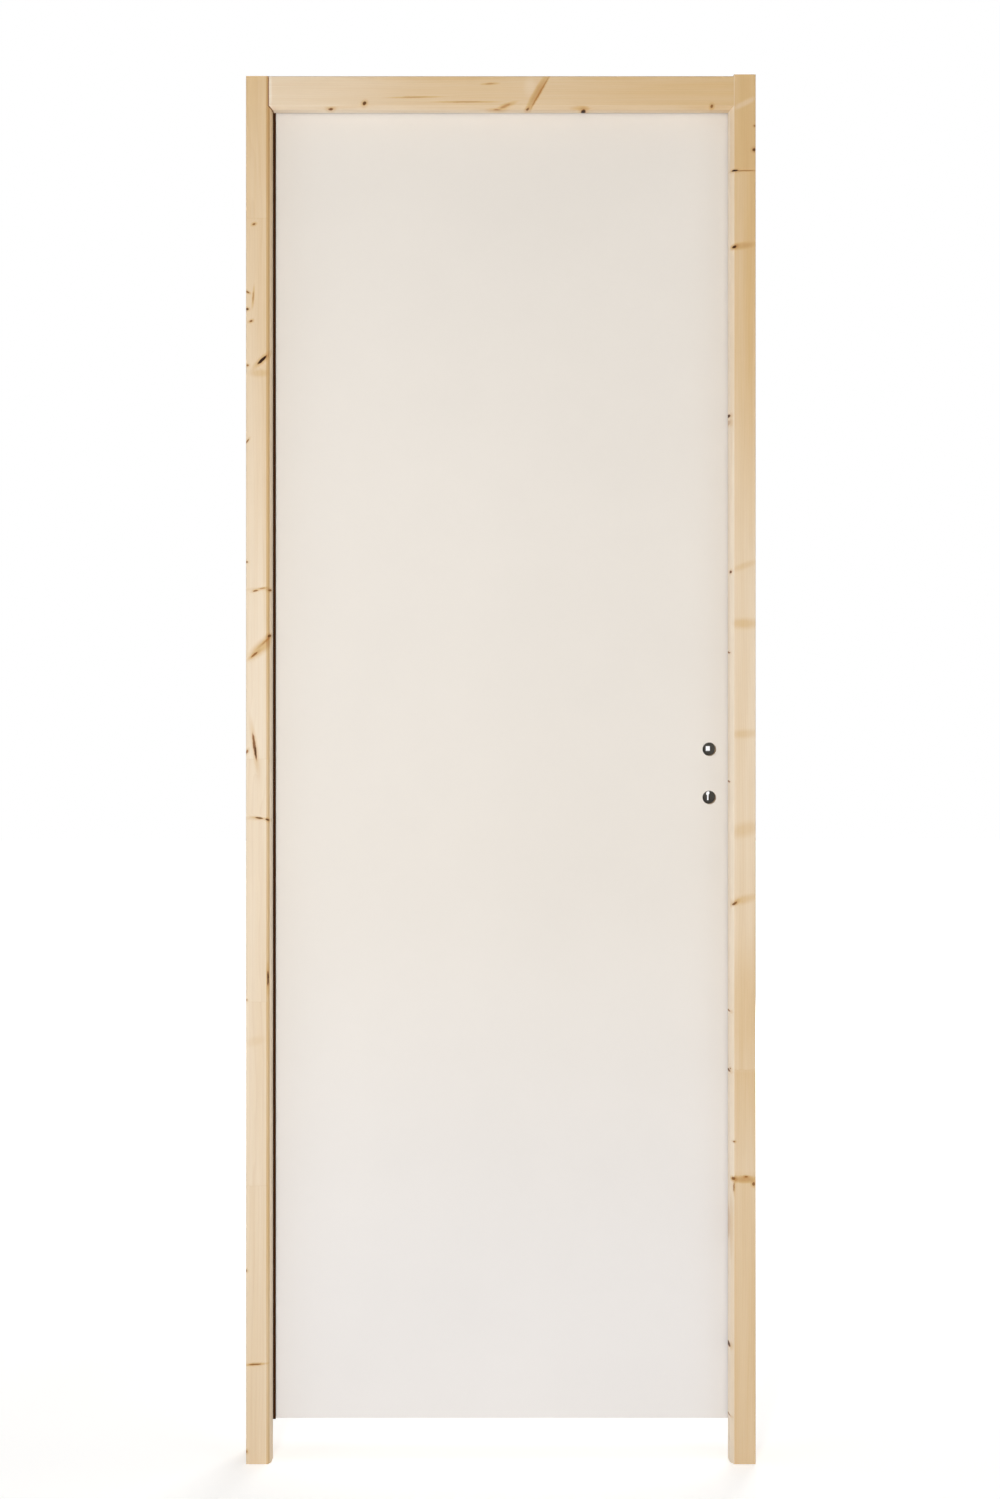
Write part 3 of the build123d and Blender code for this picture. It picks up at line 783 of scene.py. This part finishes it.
# Depths between which the primer ends on a cut edge, and its soft clouds
PRIMER_END = taken_from(0.15 * MM, 0.4 * MM)
CLOUD_SIZE = 260.0 * MM
CLOUD_SHADES = carried_to(0.985, 1.01)
# Width of a pressed fibre, the roughness of primer and cut board, and what the stipple adds
PRESSED_FIBRE = 0.8 * MM
LEAF_ROUGHNESS = carried_to(0.46, 0.85)
STIPPLE_ROUGHNESS = 0.06
STIPPLE_RELIEF = {"depth": 0.04 * MM, "strength": 0.3}
# Sizes of the lines that the die leaves on the rubber, across and along, and its roughness
DIE_LINES = (0.6 * MM, 90.0 * MM)
RUBBER_ROUGHNESS = carried_to(0.55, 0.7)


def primed_hardboard(name, face, inward, leaf):
    """Hardboard skin with a factory primer on its outer face.

    The primer is a warm off-white, rolled on, so it is even and low in gloss with a very
    fine stipple. It stops at the arris: cut edges and holes show brown pressed fibre.
    """
    material, tree, shader, place = blank_material(name)
    axes = add(tree, "SeparateXYZ", {0: place}).node.outputs
    inset = add(tree, "Math", {0: axes[1], 1: face}, operation="SUBTRACT")
    inset = add(tree, "Math", {0: inset, 1: inward}, operation="MULTIPLY")
    cut = add(tree, "MapRange", {"Value": inset, **PRIMER_END})
    cloud = add(tree, "TexNoise", {"Vector": place, "Scale": 1 / CLOUD_SIZE, "Detail": 3.0})
    tint = add(tree, "MapRange", {"Value": cloud, **NOISE_RANGE, **CLOUD_SHADES})
    # Painted light: the primer turns whiter towards the foot
    low = add(tree, "MapRange", {"Value": axes[2], **PAINTED_FLOOR_LIGHT_RISE}, **SMOOTH)
    primer_and_painted_light = {"A": (*leaf.primer, 1.0), "B": (*leaf.foot, 1.0)}
    primer = add(tree, "Mix", {"Factor": low, **primer_and_painted_light}, **BLENDED)
    primer = add(tree, "Mix", {"Factor": 1.0, "A": primer, "B": tint}, **MULTIPLIED)
    pressed = add(tree, "TexNoise", {"Vector": place, "Scale": 1 / PRESSED_FIBRE, "Detail": 4.0})
    fibres = toned(tree, pressed, leaf.board, dark=0.7, light=1.25)
    colour = add(tree, "Mix", {"Factor": cut, "A": primer, "B": fibres}, **BLENDED)
    stipple = add(tree, "TexNoise", {"Vector": place, "Scale": 1 / leaf.stipple, "Detail": 2.0})
    rough = add(tree, "MapRange", {"Value": cut, **LEAF_ROUGHNESS})
    rough = add(
        tree, "Math", {0: stipple, 1: STIPPLE_ROUGHNESS, 2: rough}, operation="MULTIPLY_ADD"
    )
    set_surface(tree, shader, colour, rough, stipple, **STIPPLE_RELIEF, specular=0.35)
    return material


def extruded_rubber(name, leaf):
    """Brown thermoplastic rubber seal, extruded.

    It is dark and soft-looking with a dull sheen, and the die's faint lines run along it.
    """
    material, tree, shader, place = blank_material(name)
    lines = drawn_out_noise(tree, place, *DIE_LINES, detail=3.0)
    colour = toned(tree, lines, leaf.seal, dark=0.8, light=1.3)
    rough = add(tree, "MapRange", {"Value": lines, **RUBBER_ROUGHNESS})
    set_surface(tree, shader, colour, rough, lines, **DULL_RELIEF, specular=0.05)
    return material


class DOOR_OT_skins(bpy.types.Operator):
    """Prime the leaf's two hardboard skins"""

    bl_idname = "door.skins"
    bl_label = "Leaf Skins"

    def execute(self, context):
        leaf = context.scene.door_leaf
        for side, face, inward in (("push", LEAF_FRONT, 1.0), ("pull", LEAF_BACK, -1.0)):
            board = primed_hardboard(f"primed_hardboard_{side}", face, inward, leaf)
            dress(board, f"leaf_skin_{side}")
        return {"FINISHED"}


class DOOR_OT_seals(bpy.types.Operator):
    """Finish the three seal strips as brown rubber"""

    bl_idname = "door.seals"
    bl_label = "Seals"

    def execute(self, context):
        rubber = extruded_rubber("extruded_brown_rubber", context.scene.door_leaf)
        dress(rubber, "hinge_seal", "lock_seal", "head_seal")
        return {"FINISHED"}


# Metals

# Sizes of the streaks that each way of making leaves, in x and y and then in z
ROLLED = (1.2 * MM, 14.0 * MM)
TURNED = (9.0 * MM, 0.3 * MM)
FINELY_TURNED = (9.0 * MM, 0.25 * MM)
BRUSHED = (0.25 * MM, 40.0 * MM)
BARREL_PLATED = (0.5 * MM, 0.5 * MM)
# How much less and more rough the streaks are, and the grain of a dull coat
STREAK_ROUGHNESS = (-0.06, 0.10)
STREAK_RELIEF = {"depth": 0.02 * MM, "strength": 0.2}
GRAIN_ROUGHNESS = (-0.05, 0.05)
# Size of the soft mottling in lacquer and polymer
MOTTLE_SIZE = 6.0 * MM


def plated_steel(name, colour, streak, roughness, pattern):
    """Bright metal, plated or turned, with faint streaks.

    Long in one direction they read as rolled, brushed or turned metal, and even they read as
    a barrel-plated finish. Pattern is how much darker and lighter they are than the metal.
    """
    material, tree, shader, place = blank_material(name)
    lines = drawn_out_noise(tree, place, *streak, detail=4.0)
    tone = toned(tree, lines, colour, 1 - pattern, 1 + pattern)
    levels = carried_to(*[roughness + change for change in STREAK_ROUGHNESS])
    rough = add(tree, "MapRange", {"Value": lines, **levels})
    set_surface(tree, shader, tone, rough, lines, **STREAK_RELIEF)
    shader.inputs["Metallic"].default_value = 1.0
    return material


def dull_coat(name, colour, roughness, grain):
    """Dark grey lacquer on pressed steel, or dark grey moulded polymer: grey parts made dark as
    painted shade for the shade in the lock holes.

    Both are even and dull to the eye: a soft mottling of the tone and a fine grain in the
    surface, in millimetres, which is the lacquer's orange peel or the mould's texture.
    """
    material, tree, shader, place = blank_material(name)
    mottle = add(tree, "TexNoise", {"Vector": place, "Scale": 1 / MOTTLE_SIZE, "Detail": 3.0})
    tone = toned(tree, mottle, colour, dark=0.93, light=1.05)
    peel = add(tree, "TexNoise", {"Vector": place, "Scale": 1 / (grain * MM), "Detail": 2.0})
    levels = carried_to(*[roughness + change for change in GRAIN_ROUGHNESS])
    rough = add(tree, "MapRange", {"Value": peel, **levels})
    set_surface(tree, shader, tone, rough, peel, **DULL_RELIEF, specular=0.25)
    return material


class DOOR_OT_lock(bpy.types.Operator):
    """Finish the lock's case, cover, follower, faceplate and bolts, and the strike plate"""

    bl_idname = "door.lock"
    bl_label = "Lock"

    def execute(self, context):
        metal = context.scene.door_metal
        # Case, cover and follower are made darker than their own grey, as painted shade in the lock
        # holes
        case = dull_coat("grey_lacquered_lock_case", metal.lacquer, roughness=0.6, grain=0.8)
        polymer = dull_coat("grey_polymer_follower", metal.polymer, roughness=0.65, grain=0.3)
        satin = plated_steel("satin_nickel_plate", metal.nickel, BRUSHED, 0.30, pattern=0.05)
        dress(case, "lock_case", "lock_cover")
        dress(polymer, "lock_follower")
        dress(satin, "lock_faceplate", "strike_plate", "latch_bolt", "dead_bolt")
        return {"FINISHED"}


class DOOR_OT_hinges(bpy.types.Operator):
    """Finish the three lift-off hinges, their pins and their rings"""

    bl_idname = "door.hinges"
    bl_label = "Hinges"

    def execute(self, context):
        metal = context.scene.door_metal
        zinc = plated_steel("bright_zinc_hinges", metal.zinc, ROLLED, 0.30, pattern=0.05)
        steel = plated_steel("turned_steel_pins", metal.steel, TURNED, 0.22, pattern=0.06)
        brass = plated_steel("turned_brass_rings", metal.brass, FINELY_TURNED, 0.24, pattern=0.06)
        for place in HINGES:
            dress(zinc, f"hinge_{place}_frame_half", f"hinge_{place}_leaf_half")
            dress(steel, f"hinge_{place}_pin")
            dress(brass, f"hinge_{place}_ring")
        return {"FINISHED"}


# Screws

SCREW_RINGS = 22
SCREW_SPOKES = 56
COUNTERSINK = math.radians(82.0)
# Turn of a lock plate's first screw, the further turn of each later screw of any plate, and
# the angle above which an edge stays sharp
LOCK_SCREW_TURN = 0.7
SCREW_TURN = 2.4
SHARP_EDGE = math.radians(35.0)
# Screw places on a hinge plate: inset from the frame's back face, rise from the hinge's middle
HINGE_SCREWS = ((9.0, 42.0), (20.0, 18.0), (20.0, -18.0), (9.0, -42.0))
PLATE_THICKNESS = 2.5 * MM
# Upright plates at the lock: node, body, and the way they face along x
LOCK_PLATES = (("lock_faceplate", "leaf", 1.0), ("strike_plate", "frame", -1.0))


def screw_profile(screws, thickness):
    """Radius and depth of a screw's outline, from the rim of the head down to its cut shank.

    The cone's depth is the difference of the radii over the tangent of half the angle.
    """
    slope = math.tan(COUNTERSINK / 2)
    cone = (screws.head_radius - screws.shank_radius) / slope
    end = thickness - screws.sunk
    if cone < end:
        return [(screws.shank_radius, cone), (screws.shank_radius, end), (0.0, end)]
    return [(screws.head_radius - end * slope, end), (0.0, end)]


def countersunk_screw(screws, thickness):
    """Points and faces of one screw, head up at the origin.

    On a polar grid the head's depth at radius r and angle a is the recess depth times two
    smooth steps: one falls off across the nearer arm of the cross, at the smaller of
    |r cos a| and |r sin a|, and one falls off at the arm's end, at the larger of them.
    Below the rim the outline is carried round the axis.
    """
    angles = np.linspace(0.0, 2 * math.pi, SCREW_SPOKES, endpoint=False)
    radii = np.linspace(0.0, 1.0, SCREW_RINGS + 1)[1:] * screws.head_radius
    r, a = np.meshgrid(radii, angles, indexing="ij")
    u, v = np.abs(r * np.cos(a)), np.abs(r * np.sin(a))
    taper = screws.recess_width
    arm = np.clip((screws.recess_width + taper / 2 - np.minimum(u, v)) / taper, 0, 1)
    tip = np.clip((screws.recess_reach + taper - np.maximum(u, v)) / (2 * taper), 0, 1)
    sink = -screws.recess_depth * arm * arm * (3 - 2 * arm) * tip * tip * (3 - 2 * tip)
    rings = [np.stack([r * np.cos(a), r * np.sin(a), sink], axis=-1)]
    for radius, depth in screw_profile(screws, thickness)[:-1]:
        ring = np.stack([radius * np.cos(angles), radius * np.sin(angles)], axis=-1)
        rings.append(np.concatenate([ring, np.full((SCREW_SPOKES, 1), -depth)], axis=1)[None])
    grid = np.concatenate(rings).reshape(-1, 3)
    top = [[0.0, 0.0, -screws.recess_depth]]
    bottom = [[0.0, 0.0, screws.sunk - thickness]]
    points = np.concatenate([top, grid, bottom])
    rows = len(grid) // SCREW_SPOKES
    index = np.arange(rows * SCREW_SPOKES).reshape(rows, SCREW_SPOKES) + 1
    after = np.roll(index, -1, axis=1)
    quads = np.stack([index[:-1], index[1:], after[1:], after[:-1]], axis=-1).reshape(-1, 4)
    cap = [(0, int(i), int(j)) for i, j in zip(index[0], after[0])]
    foot = [(len(points) - 1, int(j), int(i)) for i, j in zip(index[-1], after[-1])]
    return points, quads.tolist() + cap + foot


def screw_set(name, body, places, outward, turn_start, thickness, material, screws):
    """One piece that holds a plate's screws, each turned by its own angle."""
    points, faces = countersunk_screw(screws, thickness)
    all_points, all_faces = [], []
    for number, (x, y, z) in enumerate(places):
        turn = turn_start + SCREW_TURN * number
        c, s = math.cos(turn), math.sin(turn)
        side = points[:, 0] * c - points[:, 1] * s
        rise = points[:, 0] * s + points[:, 1] * c
        height = (points[:, 2] - screws.sunk) * outward
        placed = np.stack([x + height, y + side * outward, z + rise], axis=-1)
        offset = number * len(points)
        all_points.append(placed)
        all_faces += [[i + offset for i in face] for face in faces]
    mesh = bpy.data.meshes.new(name)
    mesh.from_pydata(np.concatenate(all_points).tolist(), [], all_faces)
    mesh.polygons.foreach_set("use_smooth", [True] * len(mesh.polygons))
    mesh.set_sharp_from_angle(angle=SHARP_EDGE)
    mesh.materials.append(material)
    piece = bpy.data.objects.new(name, mesh)
    bpy.context.collection.objects.link(piece)
    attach(piece, body)


class DOOR_OT_screws(bpy.types.Operator):
    """Add the countersunk screws of the hinge plates, the faceplate and the strike plate"""

    bl_idname = "door.screws"
    bl_label = "Screws"

    def execute(self, context):
        screws = context.scene.door_screws
        metal = context.scene.door_metal
        zinc = plated_steel("bright_zinc_screws", metal.zinc, BARREL_PLATED, 0.26, pattern=0.06)
        for order, place in enumerate(HINGES):
            low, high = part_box(f"hinge_{place}_ring")
            level = (low.z + high.z) / 2
            spots = [(BACK - inset * MM, level + rise * MM) for inset, rise in HINGE_SCREWS]
            for half, body, face, outward in (
                ("frame", "frame", HINGE_REBATE, 1.0),
                ("leaf", "leaf", LEAF_LEFT, -1.0),
            ):
                screw_set(
                    f"hinge_{place}_{half}_screws",
                    body,
                    [(face, y, z) for y, z in spots],
                    outward,
                    order + outward,
                    PLATE_THICKNESS,
                    zinc,
                    screws,
                )
        for node, body, outward in LOCK_PLATES:
            low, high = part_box(node)
            width = high.y - low.y
            face = high.x if outward > 0 else low.x
            middle = (low.y + high.y) / 2
            screw_set(
                f"{node}_screws",
                body,
                [(face, middle, low.z + width / 2), (face, middle, high.z - width / 2)],
                outward,
                LOCK_SCREW_TURN,
                high.x - low.x,
                zinc,
                screws,
            )
        return {"FINISHED"}


# Stage

# Lamps: place, then width and height, in metres
LAMPS = {
    "key": ((-0.45, -4.3, 1.0), (0.5, 2.6)),
    "side": ((-3.2, -1.7, 1.2), (1.6, 2.4)),
    "fill": ((4.5, -3.0, 1.2), (2.0, 2.4)),
    "rear": ((1.6, 3.8, 1.6), (2.0, 2.4)),
}
# Width of the camera's sensor in millimetres, and how many metres it sees
SENSOR_WIDTH = 36.0
VIEW_REACH = 100.0
# The floor lies this far below the feet, reaches this many metres each way, is mottled at
# this size in metres, and glows more between these distances from the door
FLOOR_DROP = 0.2 * MM
FLOOR_REACH = 9.0
FLOOR_MOTTLE = 0.4
GLOW_RISE = taken_from(0.8, 3.0)
FLOOR_CORNERS = ((-1, -1), (1, -1), (1, 1), (-1, 1))


def soft_lamp(name, place, size, target, power):
    """A rectangular soft lamp that faces the target."""
    lamp = bpy.data.lights.new(name, "AREA")
    lamp.shape = "RECTANGLE"
    lamp.size, lamp.size_y = size
    lamp.energy = power
    piece = bpy.data.objects.new(name, lamp)
    piece.location = place
    aim = Vector(target) - Vector(place)
    piece.rotation_euler = aim.to_track_quat("-Z", "Y").to_euler()
    bpy.context.collection.objects.link(piece)


def white_surround(stage):
    """A world that is white where it is seen, and lights the door with less than that."""
    world = bpy.data.worlds.new("white_surround")
    world.use_nodes = True
    tree = world.node_tree
    tree.nodes.clear()
    levels = carried_to(stage.ambient, 1.0)
    strength = add(tree, "MapRange", {"Value": background_rays(tree), **levels})
    surround = add(tree, "Background", {"Color": WHITE, "Strength": strength})
    output = tree.nodes.new("ShaderNodeOutputWorld")
    tree.links.new(surround, output.inputs["Surface"])
    return world


def matt_floor(stage, foot):
    """Matt painted studio floor, nearly white, with a faint mottling.

    It glows where it is seen, to blend with the surround, and less so near the door's foot,
    so that the door's shadow shows there.
    """
    material, tree, shader, place = blank_material("matt_studio_floor")
    mottle = add(tree, "TexNoise", {"Vector": place, "Scale": 1 / FLOOR_MOTTLE, "Detail": 2.0})
    tone = toned(tree, mottle, stage.floor, dark=0.99, light=1.0)
    tree.links.new(tone, shader.inputs["Base Color"])
    shader.inputs["Roughness"].default_value = 0.9
    shader.inputs["Specular IOR Level"].default_value = 0.1
    shader.inputs["Emission Color"].default_value = WHITE
    away = add(tree, "VectorMath", {0: place, 1: foot}, operation="DISTANCE")
    levels = carried_to(stage.near_glow, stage.far_glow)
    glow = add(tree, "MapRange", {"Value": away, **GLOW_RISE, **levels})
    glow = fold(tree, "MULTIPLY", [glow, background_rays(tree)])
    tree.links.new(glow, shader.inputs["Emission Strength"])
    return material


class DOOR_OT_stage(bpy.types.Operator):
    """Set up the camera, the lamps, the white surround and the floor"""

    bl_idname = "door.stage"
    bl_label = "Studio"

    def execute(self, context):
        stage = context.scene.door_stage
        scene = context.scene
        scene.view_settings.view_transform = "Standard"

        camera = bpy.data.cameras.new("camera")
        camera.lens = stage.lens
        camera.sensor_width = SENSOR_WIDTH
        camera.shift_x, camera.shift_y = stage.shift_x, stage.shift_y
        camera.clip_end = VIEW_REACH
        eye = bpy.data.objects.new("camera", camera)
        eye.location = (stage.camera_x, FRONT - stage.distance, stage.camera_z)
        eye.rotation_euler = (math.radians(90), 0.0, 0.0)
        context.collection.objects.link(eye)
        scene.camera = eye

        middle = (Vector(CAD_BOX[0]) + Vector(CAD_BOX[1])) / 2
        for name, (place, size) in LAMPS.items():
            soft_lamp(f"{name}_lamp", place, size, middle, getattr(stage, name))

        scene.world = white_surround(stage)

        level = FLOOR - FLOOR_DROP
        corners = [(x * FLOOR_REACH, y * FLOOR_REACH, level) for x, y in FLOOR_CORNERS]
        mesh = bpy.data.meshes.new("studio_floor")
        mesh.from_pydata(corners, [], [(0, 1, 2, 3)])
        mesh.materials.append(matt_floor(stage, (middle.x, middle.y, level)))
        floor = bpy.data.objects.new("studio_floor", mesh)
        context.collection.objects.link(floor)
        return {"FINISHED"}


class DOOR_PT_sidebar(bpy.types.Panel):
    """Lists the door's settings and the steps that dress it"""

    bl_idname = "DOOR_PT_sidebar"
    bl_label = "Interior Door"
    bl_space_type = "VIEW_3D"
    bl_region_type = "UI"
    bl_category = "Door"

    def draw(self, context):
        for operator in OPERATORS:
            self.layout.operator(operator.bl_idname)
        for name, group in SETTINGS.items():
            box = self.layout.box()
            for setting in group.__annotations__:
                box.prop(getattr(context.scene, name), setting)


OPERATORS = (
    DOOR_OT_timber,
    DOOR_OT_core,
    DOOR_OT_skins,
    DOOR_OT_seals,
    DOOR_OT_lock,
    DOOR_OT_hinges,
    DOOR_OT_screws,
    DOOR_OT_stage,
)


def register():
    for group in SETTINGS.values():
        bpy.utils.register_class(group)
    for name, group in SETTINGS.items():
        setattr(bpy.types.Scene, name, bpy.props.PointerProperty(type=group))
    for operator in (*OPERATORS, DOOR_PT_sidebar):
        bpy.utils.register_class(operator)


def unregister():
    for operator in reversed((*OPERATORS, DOOR_PT_sidebar)):
        bpy.utils.unregister_class(operator)
    for name in SETTINGS:
        delattr(bpy.types.Scene, name)
    for group in SETTINGS.values():
        bpy.utils.unregister_class(group)


def main():
    register()
    bpy.ops.door.timber()
    bpy.ops.door.core()
    bpy.ops.door.skins()
    bpy.ops.door.seals()
    bpy.ops.door.lock()
    bpy.ops.door.hinges()
    bpy.ops.door.screws()
    bpy.ops.door.stage()


if __name__ == "__main__":
    main()
